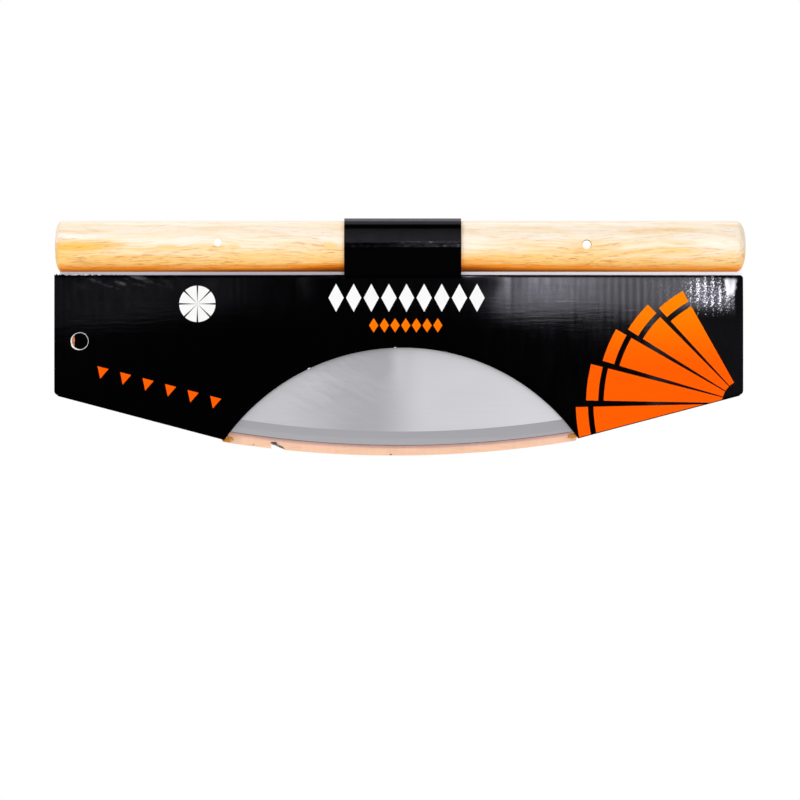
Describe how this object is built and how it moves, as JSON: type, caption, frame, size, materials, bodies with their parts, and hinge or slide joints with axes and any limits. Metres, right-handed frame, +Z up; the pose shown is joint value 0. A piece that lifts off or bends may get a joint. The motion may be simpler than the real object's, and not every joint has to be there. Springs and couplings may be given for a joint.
{
  "type": "rocker pizza cutter in a card sleeve",
  "caption": "Rocker pizza cutter with a round wooden handle and a curved steel blade, held in a folded black card sleeve with an arched window and a strap over the handle.",
  "frame": {"origin": "middle of the handle's axis, where a hand grips it", "axes": "+X along the handle to the right as seen from the front, +Y to the back, +Z up from the blade's edge to the handle"},
  "size_m": [0.3505, 0.0298, 0.1202],
  "materials": {
    "handle_wood": "pale varnished hardwood",
    "blade_steel": "brushed stainless steel",
    "pin_metal": "cut flush and sanded",
    "black_card": "corrugated card, printed black outside with a satin varnish, bare kraft inside"
  },
  "bodies": {
    "cutter": {"handle": "handle_wood", "blade": "blade_steel", "left_pin": "pin_metal", "right_pin": "pin_metal", "strap_front_slope": "black_card", "strap_front_bevel": "black_card", "strap_top": "black_card", "strap_back_bevel": "black_card", "strap_back_slope": "black_card", "back_shoulder": "black_card", "back_panel": "black_card", "left_bottom_fold": "black_card", "right_bottom_fold": "black_card"},
    "cover_shoulder": {"front_shoulder": "black_card"},
    "cover_panel": {"front_panel": "black_card"},
    "left_flap": {"left_flap": "black_card"},
    "right_flap": {"right_flap": "black_card"}
  },
  "joints": [
    {"name": "cover_swing", "type": "hinge", "parent": "cutter", "child": "cover_shoulder", "pos_m": [0.00085, -0.01491, -0.00065], "axis": [-1, 0, 0], "range_deg": [0, 110]},
    {"name": "panel_fold", "type": "hinge", "parent": "cover_shoulder", "child": "cover_panel", "pos_m": [0.00085, -0.00961, -0.01445], "axis": [-1, 0, 0], "range_deg": [0, 60]},
    {"name": "left_flap_fold", "type": "hinge", "parent": "cutter", "child": "left_flap", "pos_m": [-0.08806, -0.00225, -0.09676], "axis": [0.9668, 0, -0.2554], "range_deg": [0, 90]},
    {"name": "right_flap_fold", "type": "hinge", "parent": "cutter", "child": "right_flap", "pos_m": [0.08949, -0.00225, -0.09638], "axis": [0.9668, 0, 0.2554], "range_deg": [0, 90]}
  ],
  "couplings": [
    {"joint": "left_flap_fold", "follows": "cover_swing", "ratio": 0.8},
    {"joint": "right_flap_fold", "follows": "cover_swing", "ratio": 0.8}
  ]
}
